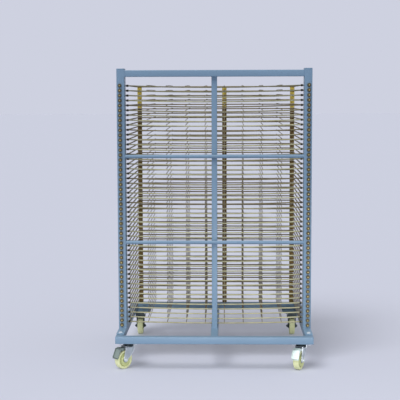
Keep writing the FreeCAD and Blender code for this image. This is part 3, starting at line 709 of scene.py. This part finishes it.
def tray_mesh(sag, low, half, reach):
    """One tray about its hinge axis: rods, wires, strip feet, dark sleeves."""
    shape = settings("tray")
    bm = bmesh.new()
    pivot = [-half + 2 * half * i / PIVOT_SPANS for i in range(PIVOT_SPANS + 1)]
    rod(bm, [(x, 0, hang(x, sag)) for x in pivot], shape.pivot_radius, 10, TRAY_PIVOT)
    tray_frame(bm, reach, shape)
    tray_wires(bm, reach, sag, shape)
    outside = reach + shape.rod_radius
    foot = shape.foot_width / 2
    feet_x = shape.half_width + shape.rod_radius - foot
    for x in (-feet_x, shape.foot_place, feet_x):
        slab(bm, (x - foot, outside - shape.foot_sheet, low), (x + foot, outside, shape.rod_rise),
             shape.foot_edge, 2, TRAY_STRIP)
    for sign in SIGNS:
        ends = [sign * shape.sleeve_start, sign * (shape.sleeve_start - shape.sleeve_length)]
        rod(bm, [(x, 0, hang(x, sag)) for x in ends], shape.sleeve_radius, 12, TRAY_SLEEVE)
    return bm


def tray_kind(number):
    """How far a tray's pivot rod turns brown, in percent, and the material of its strip feet."""
    turn = (LAST_TRAY - number) * 3 % 5
    if number < FIRST_MOVING:
        return LOWER_DARKENING[turn], "shaded_strip"
    return UPPER_DARKENING[turn], "strip" if number > LAST_TRAY - BRIGHT_TRAYS else "shaded_strip"


def kind_mesh(darkening):
    """A tray's mesh; the rods hang a little differently on each kind of tray."""
    cad_low, cad_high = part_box("tray_%02d" % LAST_TRAY)
    shape = settings("tray")
    sag = shape.sag * (1.08 - 0.16 * (darkening / 5 % 2))
    reach = cad_high.y - HINGE_LINE.y - shape.rod_radius
    return tray_mesh(sag, cad_low.z - HINGE_LINE.z, (cad_high.x - cad_low.x) / 2, reach)


class RACK_OT_trays(bpy.types.Operator):
    """All wire trays, one piece for each level"""

    bl_idname = "rack.trays"
    bl_label = "Wire trays"

    def execute(self, context):
        meshes = {}
        for number in range(LAST_TRAY, 0, -1):
            darkening, strip = tray_kind(number)
            body, replaced = "frame", ["lower_trays"] if number == 1 else []
            if number >= FIRST_MOVING:
                body, replaced = "tray_body_%02d" % number, ["tray_%02d" % number]
            source = meshes.get((darkening, strip)) or kind_mesh(darkening)
            # Pivot rod with painted light; wires and lower strip feet with painted shade.
            materials = [pivot_material(darkening), *looks("wire", strip, "sleeve")]
            piece = finish_object("wire_tray_%02d" % number, source, materials, body,
                                  replaced, (0, HINGE_LINE.y, tray_level(number)))
            meshes[darkening, strip] = piece.data
        return {"FINISHED"}


def hinge_nut(bm, place, shape, seed):
    """Washer, nut and bolt end on the post's near face, each turned a little."""
    out = Vector((0, -1, 0))
    radius, stand, sheet = shape.bolt_radius, shape.bolt_stand, shape.washer_sheet
    washer(bm, place, out, radius, shape.washer_radius, sheet)
    start = len(bm.verts)
    hexagon(bm, place + out * sheet, out, shape.nut_across, shape.nut_height)
    tip = stand + shape.chamfer
    lathe(bm, [(0, 0), (0, radius), (stand, radius), (tip, radius * 0.75), (tip, 0)],
          place + out * (sheet + shape.nut_height), out, 12, 1, False)
    bm.verts.ensure_lookup_table()
    turn = Matrix.Rotation(seed * 0.618 % 1.0 * math.pi / 3, 3, "Y")
    bmesh.ops.rotate(bm, verts=bm.verts[start:], cent=place, matrix=turn)


def hinge_eye(bm, place, post_far, shape):
    """A round eye on a short shank that comes out of the post, over a washer."""
    half, bore, radius = shape.eye_width / 2, shape.eye_bore, shape.eye_radius
    cut = shape.chamfer
    lathe(bm, [(-half, bore), (-half, radius - cut), (-half + cut, radius),
               (half - cut, radius), (half, radius - cut), (half, bore)], place, (1, 0, 0), 16)
    root = Vector((place.x, post_far, place.z))
    rod(bm, [root, (place.x, place.y - bore, place.z)], shape.shank_radius, capped=False)
    washer(bm, root, (0, 1, 0), shape.shank_radius, shape.washer_radius, shape.washer_sheet, 16, 1)


class RACK_OT_hinges(bpy.types.Operator):
    """Eye bolts behind the posts, nuts and bolt ends in front of them"""

    bl_idname = "rack.hinges"
    bl_label = "Hinge hardware"

    def execute(self, context):
        shape = settings("hinge")
        low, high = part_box("hinge_eyes")
        post_near, post_far = (corner.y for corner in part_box("left_post"))
        places = {-1: low.x + shape.eye_width / 2, 1: high.x - shape.eye_width / 2}
        nuts, eyes = bmesh.new(), bmesh.new()
        for number in range(1, LAST_TRAY + 1):
            z = tray_level(number)
            for sign, x in places.items():
                hinge_nut(nuts, Vector((x, post_near, z)), shape, number * 2 + sign)
                hinge_eye(eyes, Vector((x, HINGE_LINE.y, z)), post_far, shape)
        # Nuts in brown zinc darkened partly as painted shade.
        finish_object("hinge_nut_rows", nuts, looks("nut", "bolt"), "frame")
        finish_object("hinge_eye_rows", eyes, looks("bolt", "nut"), "frame", ["hinge_eyes"])
        return {"FINISHED"}


# ---------------- casters

WHEEL_TREAD, WHEEL_CORE, WHEEL_GROOVE, WHEEL_SEAL = range(4)
PEDAL_SHEET, PEDAL_SHOE, PEDAL_RIM = range(3)
FORK_RIM, FORK_LEG, FORK_CROWN = range(3)
ALONG_X, UPRIGHT = (1, 0, 0), (0, 0, 1)
WHEEL_STEPS, SEAL_STEPS = 56, 40
AXLE_PLAY = 0.0003  # between an axle or a pedal and what it sits in
# Fork legs: pull of the front edge over the axle, where it meets the boss in parts of the
# boss's radius; foot of the back edge over the axle, its pull under the leg's top, its lean.
FRONT_PULL, BOSS_MEET = 0.034, Vector((0.97, 0.24))
BACK_FOOT, BACK_PULL, BACK_LEAN = 0.004, 0.030, 0.18
RACE_RADIUS, RACE_BULGE, RACE_NECK, RACE_BORE = 0.0215, 0.0230, 0.0185, 0.006
KINGPIN_RADIUS, KINGPIN_CUT, KINGPIN_HEAD = 0.0098, 0.0085, 0.0028
CROWN_FRONT, CROWN_EDGE = -0.018, 0.0015
# Brake pedal: its bends from the axle, the pin and its box; then hub, flanges and ribs.
KNEE_BACK, KNEE_UNDER, LIP_BACK, LIP_OVER, ARM_OVER = 0.029, 0.0006, 0.0098, 0.0008, 0.0052
HUB_RADIUS, HUB_BORE = 0.0050, 0.0031
ARM_FLANGE, PLATE_FLANGE, FLANGE_EDGE, PLATE_EDGE = 0.0020, 0.0022, 0.0005, 0.0008
RIB_RADIUS, RIB_PLACES, RIM_RISE = 0.0011, (-0.009, 0.0, 0.009), 0.0004


def both_ways(profile):
    """A profile and its mirror image, as one outline."""
    return profile + [(-along, radius) for along, radius in reversed(profile)]


def wheel_mesh(axis, centre):
    """Rounded tread on a dished core with its hub, about the axle."""
    shape = settings("caster")
    radius, half, corner = centre.z, shape.wheel_half, shape.tread_round
    core, hub, bore = shape.core_radius, shape.hub_radius, shape.axle_radius
    floor, seal = half - shape.dish, shape.leg_gap - shape.play
    shoulder = arc((half - corner, radius - corner), corner, 0, 90, 6)
    tread = [(floor, core), (half - 0.0004, core + 0.0022)] + shoulder
    disc = [(half - 0.0008, core - 0.0035), (floor + 0.0006, core - 0.0060), (floor, hub + 0.0035),
            (half - 0.001, hub), (half, hub - 0.001), (half, bore)]
    # The groove's darker colour is painted shade in the recess.
    groove = [(floor - 0.0004, core + 0.0004), (floor + 0.0002, core - 0.0012),
              (half - 0.0010, core - 0.0036), (floor - 0.0004, core - 0.0040)]
    # The black seal rings are real seals that also stand for the shade in the gap between hub and leg,
    # partly painted shade.
    rubber = [(half, bore), (half, hub - 0.001), (seal, hub - 0.002), (seal, bore)]
    bm = bmesh.new()
    lathe(bm, both_ways(tread), centre, axis, WHEEL_STEPS, WHEEL_TREAD)
    lathe(bm, both_ways(disc), centre, axis, WHEEL_STEPS, WHEEL_CORE)
    for face in (-axis, axis):
        lathe(bm, groove, centre, face, WHEEL_STEPS, WHEEL_GROOVE)
        lathe(bm, rubber, centre, face, SEAL_STEPS, WHEEL_SEAL)
    return bm


class RACK_OT_wheels(bpy.types.Operator):
    """Four caster wheels"""

    bl_idname = "rack.wheels"
    bl_label = "Wheels"

    def execute(self, context):
        for side in SIDES:
            for end in ("near", "far"):
                name = "%s_%s_wheel" % (side, end)
                centre, axis = joint_place(name + "_spin")
                finish_object(name + "_turned", wheel_mesh(axis, centre),
                              looks("tread", "core", "groove", "black"),
                              name + "_body", [name])
        return {"FINISHED"}


def near_caster(side):
    """Swivel place and wheel axis; then wheel and pedal pin from the side, as (y, z)."""
    origin = joint_place(side + "_caster_swivel")[0]
    centre, axis = joint_place(side + "_near_wheel_spin")
    spots = (centre, joint_place(side + "_brake_pedal_press")[0])
    return origin, axis, *(Vector((-(spot.xy - origin.xy).length, spot.z)) for spot in spots)


def fork_legs(bm, top, back, drop, axle, shape):
    """Two legs, bowed down to a round boss about the axle, with rolled rims at their edges."""
    bore, boss, rise, front = shape.axle_radius, shape.boss_radius, shape.boss_rise, shape.leg_front
    meet = Vector((-drop, axle)) + boss * BOSS_MEET
    front_edge = curve((front, top), (front, axle + FRONT_PULL), meet)
    lean = (-back - drop * BACK_LEAN, top - BACK_PULL)
    back_edge = curve((-drop - boss, axle + BACK_FOOT), lean, (-back, top))
    outline = front_edge + arc((-drop, axle), boss, 6, -180) + back_edge
    for sign in SIGNS:
        x = sign * (shape.leg_gap + shape.sheet)
        plate(bm, outline, *sorted((sign * shape.leg_gap, x)), shape.leg_edge, FORK_LEG)
        for edge in (front_edge, back_edge):
            rod(bm, [(x, *spot) for spot in edge], shape.rim)
        lathe(bm, [(0, bore), (0, boss - 0.003), (sign * rise, boss - 0.0045), (sign * rise, bore)],
              (x, -drop, axle), ALONG_X, 24)


def swivel_fork(side, shape):
    """Domed crown, bowed legs, axle bosses and the pedal's pin."""
    origin, axis, wheel, pin = near_caster(side)
    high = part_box(side + "_swivel_fork")[1].z
    top = high - shape.sheet
    bottom = top - shape.crown_depth
    crown, bore = shape.crown_radius, shape.crown_bore
    reach = shape.leg_gap + shape.sheet
    bm = bmesh.new()
    fork_legs(bm, top, shape.leg_back, -wheel.x, wheel.y, shape)
    lathe(bm, [(bottom, bore), (bottom, crown - 0.002), (bottom + 0.002, crown), (top - 0.001, crown),
               (high - 0.0012, crown - 0.0012), (high, crown - 0.004), (high, bore)],
          (0, 0, 0), UPRIGHT, 48, FORK_CROWN)
    slab(bm, (-reach, -shape.leg_back, bottom), (reach, CROWN_FRONT, top), CROWN_EDGE, 2, FORK_CROWN)
    rod(bm, [(-reach, *pin), (reach, *pin)], shape.pin_radius, 14)
    for sign in SIGNS:
        rise = sign * shape.pin_head
        lathe(bm, [(0, 0), (0, 0.0052), (rise, 0.0040), (rise, 0)], (sign * reach, *pin), ALONG_X,
              16, close=False)
    turn_and_move(bm, axis, origin)
    # The crown gets the nearly black zinc of painted shade.
    finish_object(side + "_fork_pressing", bm, looks("zinc", "leg", "race"), side + "_swivel",
                  [side + "_swivel_fork"])


def caster_head(bm, side, shape):
    """Head plate with rounded corners, ball race and kingpin head."""
    low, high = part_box("near_caster_plates")
    origin = joint_place(side + "_caster_swivel")[0]
    half = Vector(((high.x - low.x) / 2 - abs(origin.x), (high.y - low.y) / 2))
    floor = high.z - shape.head_sheet
    slab(bm, (*(origin.xy - half), floor), (*(origin.xy + half), high.z), shape.head_corner, 4, along=2)
    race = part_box(side + "_swivel_fork")[1].z + AXLE_PLAY
    foot, head = (*origin.xy, 0), low.z + KINGPIN_HEAD
    lathe(bm, [(race, RACE_BORE), (race, RACE_RADIUS), (race + 0.0025, RACE_BULGE),
               (floor - 0.003, RACE_RADIUS), (floor, RACE_NECK), (floor, RACE_BORE)], foot, UPRIGHT)
    lathe(bm, [(low.z, 0), (low.z, KINGPIN_CUT), (low.z + 0.0010, KINGPIN_RADIUS),
               (head, KINGPIN_RADIUS), (head, RACE_BORE), (race, RACE_BORE)], foot, UPRIGHT,
          32, close=False)


def fixed_fork(bm, side, shape):
    """Head plate and web with two straight legs that narrow to the axle."""
    low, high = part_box("far_caster_forks")
    centre, axis = joint_place(side + "_far_wheel_spin")
    wide, long = (high.x - low.x) / 2 - abs(centre.x), (high.y - low.y) / 2
    floor = high.z - shape.head_sheet
    root = floor + shape.weld
    web, web_floor = shape.web_half, centre.z * 2 + shape.web_gap
    part = bmesh.new()
    slab(part, (-wide, -long, floor), (wide, long, high.z), shape.head_corner, 4, along=2)
    slab(part, (-web, -web, web_floor), (web, web, root), shape.sheet)
    fork_legs(part, root, shape.leg_front, 0, centre.z, shape)
    turn_and_move(part, axis, centre)
    mesh = bpy.data.meshes.new("fixed fork")
    part.to_mesh(mesh)
    part.free()
    bm.from_mesh(mesh)
    bpy.data.meshes.remove(mesh)


class RACK_OT_caster_forks(bpy.types.Operator):
    """Swivel forks with their heads, and the fixed forks"""

    bl_idname = "rack.caster_forks"
    bl_label = "Caster forks"

    def execute(self, context):
        shape = settings("caster")
        heads, fixed = bmesh.new(), bmesh.new()
        for side in SIDES:
            swivel_fork(side, shape)
            caster_head(heads, side, shape)
            fixed_fork(fixed, side, shape)
        for bm, name, node in ((heads, "swivel_heads", "near_caster_plates"),
                               (fixed, "fixed_forks", "far_caster_forks")):
            # Heads and fixed forks: zinc painted nearly black as painted shade.
            finish_object(name, bm, looks("race", "race"), "frame", [node])
        return {"FINISHED"}


def brake_pedal(side, shape):
    """Arm over the wheel, bent plate with rims and flanges, hub and shoe."""
    origin, axis, wheel, pin = near_caster(side)
    low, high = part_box(side + "_brake_pedal")
    knee = Vector((wheel.x - KNEE_BACK, high.z - KNEE_UNDER))
    lip = Vector((wheel.x - wheel.y - LIP_BACK, low.z + LIP_OVER))
    arm = pin + Vector((0, ARM_OVER))
    half = shape.leg_gap - AXLE_PLAY
    bm = bmesh.new()
    pedal_arm(bm, arm, knee, half, shape)
    pedal_plate(bm, knee, lip, shape)
    lathe(bm, [(-half, HUB_BORE), (-half, HUB_RADIUS), (half, HUB_RADIUS), (half, HUB_BORE)],
          (0, *pin), ALONG_X, 20)
    pedal_shoe(bm, wheel, arm.y - shape.sheet, shape)
    turn_and_move(bm, axis, origin)
    # Left pedal: painted shade on the plate, darker painted shade on the rims; right pedal: painted light,
    # with painted shade on the rims.
    kinds = ("dull_pedal", "black", "race") if side == "left" else ("pedal", "black", "dull_pedal")
    finish_object(side + "_pedal_pressing", bm, looks(*kinds), side + "_pedal_body",
                  [side + "_brake_pedal"])


def pedal_arm(bm, arm, knee, half, shape):
    """The arm's sheet, and its flanges behind the fork."""
    sheet = Vector((0, shape.sheet))
    plate(bm, [arm, arm - sheet, knee - sheet + Vector((shape.sheet, 0)), knee],
          -half, half, shape.pressed_edge)
    start, finish = arm.lerp(knee, 0.40), arm.lerp(knee, 0.95)
    outline = [start, finish, finish - Vector((0, 0.0165)), start - Vector((0, 0.0110))]
    for sign in SIGNS:
        x = sign * (half + 0.0008)
        plate(bm, outline, *sorted((x, x - sign * ARM_FLANGE)), FLANGE_EDGE)


def pedal_plate(bm, knee, lip, shape):
    """The plate that is trodden on: bent at the knee, rimmed, ribbed, flanged below."""
    sheet, wide = shape.sheet, shape.pedal_half
    bend = curve(knee + Vector((0.006, -0.0012)), knee, knee + Vector((-0.004, -0.0075)), 6)
    under = [(y + sheet, z - sheet) for y, z in reversed(bend)]
    plate(bm, bend + [lip, (lip.x + sheet, lip.y)] + under, -wide, wide, PLATE_EDGE)
    slope = (lip - knee).normalized()
    inward = Vector((-slope.y, slope.x)) * -shape.flange_depth
    start, finish = knee + slope * 0.008, lip - slope * 0.004
    for sign in SIGNS:
        plate(bm, [start, finish, finish + inward * 0.45, start + inward],
              *sorted((sign * wide, sign * (wide - PLATE_FLANGE))), FLANGE_EDGE)
    outward = -inward.normalized() * RIM_RISE
    edge = wide - shape.rim
    corners = [(-edge, start), (-edge, finish), (edge, finish), (edge, start), (-edge, start)]
    rim = [(x, *(spot + outward)) for x, spot in corners]
    for first, second in zip(rim, rim[1:]):
        rod(bm, [first, second], shape.rim, 8, PEDAL_RIM)
    ends = [start + slope * 0.007, finish - slope * 0.008]
    for x in RIB_PLACES:
        rod(bm, [(x, *(spot + outward)) for spot in ends], RIB_RADIUS)


def pedal_shoe(bm, wheel, ceiling, shape):
    """Rubber block under the arm that follows the tread down behind it."""
    inside = wheel.y + shape.shoe_gap
    under = arc(wheel, inside, 92, 148, 8)
    over = arc(wheel, inside + shape.shoe_depth, 148, 118, 5)
    top = [(over[-1][0], ceiling), (under[0][0], ceiling)]
    plate(bm, under + over + top, -shape.shoe_half, shape.shoe_half, shape.pressed_edge, PEDAL_SHOE)


class RACK_OT_brake_pedals(bpy.types.Operator):
    """Pressed brake pedals with their rubber shoes"""

    bl_idname = "rack.brake_pedals"
    bl_label = "Brake pedals"

    def execute(self, context):
        for side in SIDES:
            brake_pedal(side, settings("caster"))
        return {"FINISHED"}


def axle_bolt(bm, joint, shape):
    """Axle with a washer, a nut and a bolt end outside each leg."""
    centre, axis = joint_place(joint)
    half, sheet = shape.leg_gap + shape.sheet, shape.washer_sheet
    rod(bm, [centre - axis * half, centre + axis * half], shape.axle_radius - AXLE_PLAY, 16)
    for out in (-axis, axis):
        washer(bm, centre + out * half, out, 0.004, 0.0105, sheet, 24)
        foot = centre + out * (half + sheet)
        hexagon(bm, foot, out, shape.nut_across, shape.nut_height)
        lathe(bm, [(0, 0), (0, 0.0045), (0.003, 0.0045), (0.0038, 0.0036), (0.0038, 0)],
              foot + out * shape.nut_height, out, 14, close=False)


def plate_bolts(shape):
    """Four bolts down through each head plate."""
    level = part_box("near_caster_plates")[1].z - shape.head_sheet
    long, wide = shape.bolts_long, shape.bolts_wide
    bm = bmesh.new()
    for side in SIDES:
        for joint, dx, dy in (("_caster_swivel", long, wide), ("_far_wheel_spin", wide, long)):
            centre = joint_place(side + joint)[0]
            for x in (centre.x - dx, centre.x + dx):
                for y in (centre.y - dy, centre.y + dy):
                    hexagon(bm, (x, y, level), (0, 0, -1), shape.bolt_across, shape.bolt_height)
    finish_object("caster_plate_bolts", bm, looks("zinc"), "frame")


class RACK_OT_caster_hardware(bpy.types.Operator):
    """Axle bolts with their nuts, and the bolts of the caster plates"""

    bl_idname = "rack.caster_hardware"
    bl_label = "Caster hardware"

    def execute(self, context):
        shape = settings("caster")
        far = bmesh.new()
        for side in SIDES:
            near, node = bmesh.new(), side + "_near_axle"
            axle_bolt(near, side + "_near_wheel_spin", shape)
            finish_object(node + "_bolt", near, looks("zinc"), side + "_swivel", [node])
            axle_bolt(far, side + "_far_wheel_spin", shape)
        # Far axle bolts: zinc painted nearly black as painted shade.
        finish_object("far_axle_bolts", far, looks("race"), "frame", ["far_caster_axles"])
        plate_bolts(shape)
        return {"FINISHED"}


# ---------------- stage

FLOOR_REACH = 90.0
FILL_COLOUR = (0.97, 0.98, 1.0, 1)
KEY_PLACE, KEY_TARGET, KEY_ANGLE = (-0.8, -1.5, 2.8), (0, 0, 0), math.radians(34)
PANEL_PLACE, PANEL_TARGET = (0.4, -2.9, 0.34), (0, -0.5, 0.10)
PANEL_WIDE, PANEL_TALL, PANEL_SPREAD = 2.6, 0.30, math.radians(50)
CAMERA_PLACE = (0.0703, -5.937, 1.4363)
CAMERA_TURNS = (("Z", 1.5), ("X", 90 - 5.53), ("Z", -0.18))  # pan, tilt and roll in degrees
CAMERA_LENS, CAMERA_SENSOR = 94.82, 36  # millimetres


def shown(tree):
    """1 where the camera, a reflection or a clear piece looks, 0 where light falls."""
    path = add_node(tree, "LightPath", {}).outputs
    seen = path["Is Camera Ray"]
    for kind in ("Is Glossy Ray", "Is Transmission Ray"):
        seen = add_node(tree, "Math", {0: seen, 1: path[kind]}, operation="MAXIMUM").outputs[0]
    return seen


def make_floor():
    """A wide floor that keeps shadows; part of its look is the plain backdrop."""
    stage = settings("stage")
    material = bpy.data.materials.new("Floor")
    material.use_nodes = True
    tree = material.node_tree
    shader = tree.nodes["Principled BSDF"]
    feed(tree, shader, {
        "Base Color": (*stage.floor, 1), "Roughness": 1.0, "Specular IOR Level": 0.0})
    plain = add_node(tree, "Emission", {"Color": (*stage.backdrop, 1)})
    share = add_node(tree, "Math", {0: shown(tree), 1: stage.floor_share}, operation="MULTIPLY")
    mix = add_node(tree, "MixShader", {
        0: share.outputs[0], 1: shader.outputs[0], 2: plain.outputs[0]})
    feed(tree, tree.nodes["Material Output"], {"Surface": mix.outputs[0]})
    far = FLOOR_REACH
    mesh = bpy.data.meshes.new("floor")
    mesh.from_pydata([(-far, -far, 0), (far, -far, 0), (far, far, 0), (-far, far, 0)], [], [(0, 1, 2, 3)])
    mesh.materials.append(material)
    piece = add_object("floor", mesh)


def make_light(context):
    """Even light all round, shown as the backdrop, a wide front lamp and a low panel."""
    stage = settings("stage")
    world = bpy.data.worlds.new("Soft surround")
    context.scene.world = world
    world.use_nodes = True
    tree = world.node_tree
    surround = tree.nodes["Background"]
    feed(tree, surround, {"Color": FILL_COLOUR, "Strength": stage.fill_strength})
    plain = add_node(tree, "Background", {"Color": (*stage.backdrop, 1)})
    mix = add_node(tree, "MixShader", {0: shown(tree), 1: surround.outputs[0], 2: plain.outputs[0]})
    feed(tree, tree.nodes["World Output"], {"Surface": mix.outputs[0]})
    key = bpy.data.lights.new("key", "SUN")
    key.energy, key.angle = stage.key_strength, KEY_ANGLE
    put_lamp(key, KEY_PLACE, KEY_TARGET)
    panel = bpy.data.lights.new("low panel", "AREA")
    panel.shape = "RECTANGLE"
    panel.size, panel.size_y, panel.spread = PANEL_WIDE, PANEL_TALL, PANEL_SPREAD
    panel.energy = stage.low_power
    put_lamp(panel, PANEL_PLACE, PANEL_TARGET)


def put_lamp(light, place, target):
    """Put a lamp at a place, turned to a target, out of the camera's sight."""
    lamp = add_object(light.name, light)
    lamp.location = place
    lamp.rotation_euler = (Vector(target) - Vector(place)).to_track_quat("-Z", "Y").to_euler()
    lamp.visible_camera = False


def make_camera(context):
    lens = bpy.data.cameras.new("camera")
    lens.sensor_width, lens.lens = CAMERA_SENSOR, CAMERA_LENS
    lens.clip_start, lens.clip_end = 0.1, 200
    eye = add_object("camera", lens)
    eye.location = CAMERA_PLACE
    pan, tilt, roll = (Matrix.Rotation(math.radians(turn), 4, axis) for axis, turn in CAMERA_TURNS)
    eye.rotation_euler = (pan @ tilt @ roll).to_euler()
    context.scene.camera = eye


class RACK_OT_stage(bpy.types.Operator):
    """Pale floor and backdrop, soft light and the camera"""

    bl_idname = "rack.stage"
    bl_label = "Stage"

    def execute(self, context):
        context.scene.view_settings.view_transform = "Standard"
        make_floor()
        make_light(context)
        make_camera(context)
        return {"FINISHED"}


# ---------------- add-on


class RACK_PT_sidebar(bpy.types.Panel):
    """Lists the operators and the settings of the rack"""

    bl_idname = "RACK_PT_sidebar"
    bl_label = "Drying rack"
    bl_space_type = "VIEW_3D"
    bl_region_type = "UI"
    bl_category = "Drying rack"

    def draw(self, context):
        for step in STEPS:
            self.layout.operator("rack." + step)
        for name, group in GROUPS.items():
            box = self.layout.box()
            box.label(text=name.title())
            for prop in group.__annotations__:
                box.prop(getattr(context.scene, "rack_" + name), prop)


GROUPS = {
    "finish": RackFinishSettings,
    "frame": RackFrameSettings,
    "tray": RackTraySettings,
    "hinge": RackHingeSettings,
    "caster": RackCasterSettings,
    "stage": RackStageSettings,
}
OPERATORS = (
    RACK_OT_stage,
    RACK_OT_frame_tubes,
    RACK_OT_frame_ends,
    RACK_OT_frame_welds,
    RACK_OT_trays,
    RACK_OT_hinges,
    RACK_OT_wheels,
    RACK_OT_caster_forks,
    RACK_OT_brake_pedals,
    RACK_OT_caster_hardware,
)
STEPS = [operator.bl_idname.split(".")[1] for operator in OPERATORS]


def register():
    for kind in (*GROUPS.values(), *OPERATORS, RACK_PT_sidebar):
        bpy.utils.register_class(kind)
    for name, group in GROUPS.items():
        setattr(bpy.types.Scene, "rack_" + name, bpy.props.PointerProperty(type=group))


def unregister():
    for name in GROUPS:
        delattr(bpy.types.Scene, "rack_" + name)
    for kind in reversed((*GROUPS.values(), *OPERATORS, RACK_PT_sidebar)):
        bpy.utils.unregister_class(kind)


def main():
    register()
    for step in STEPS:
        getattr(bpy.ops.rack, step)()


if __name__ == "__main__":
    main()
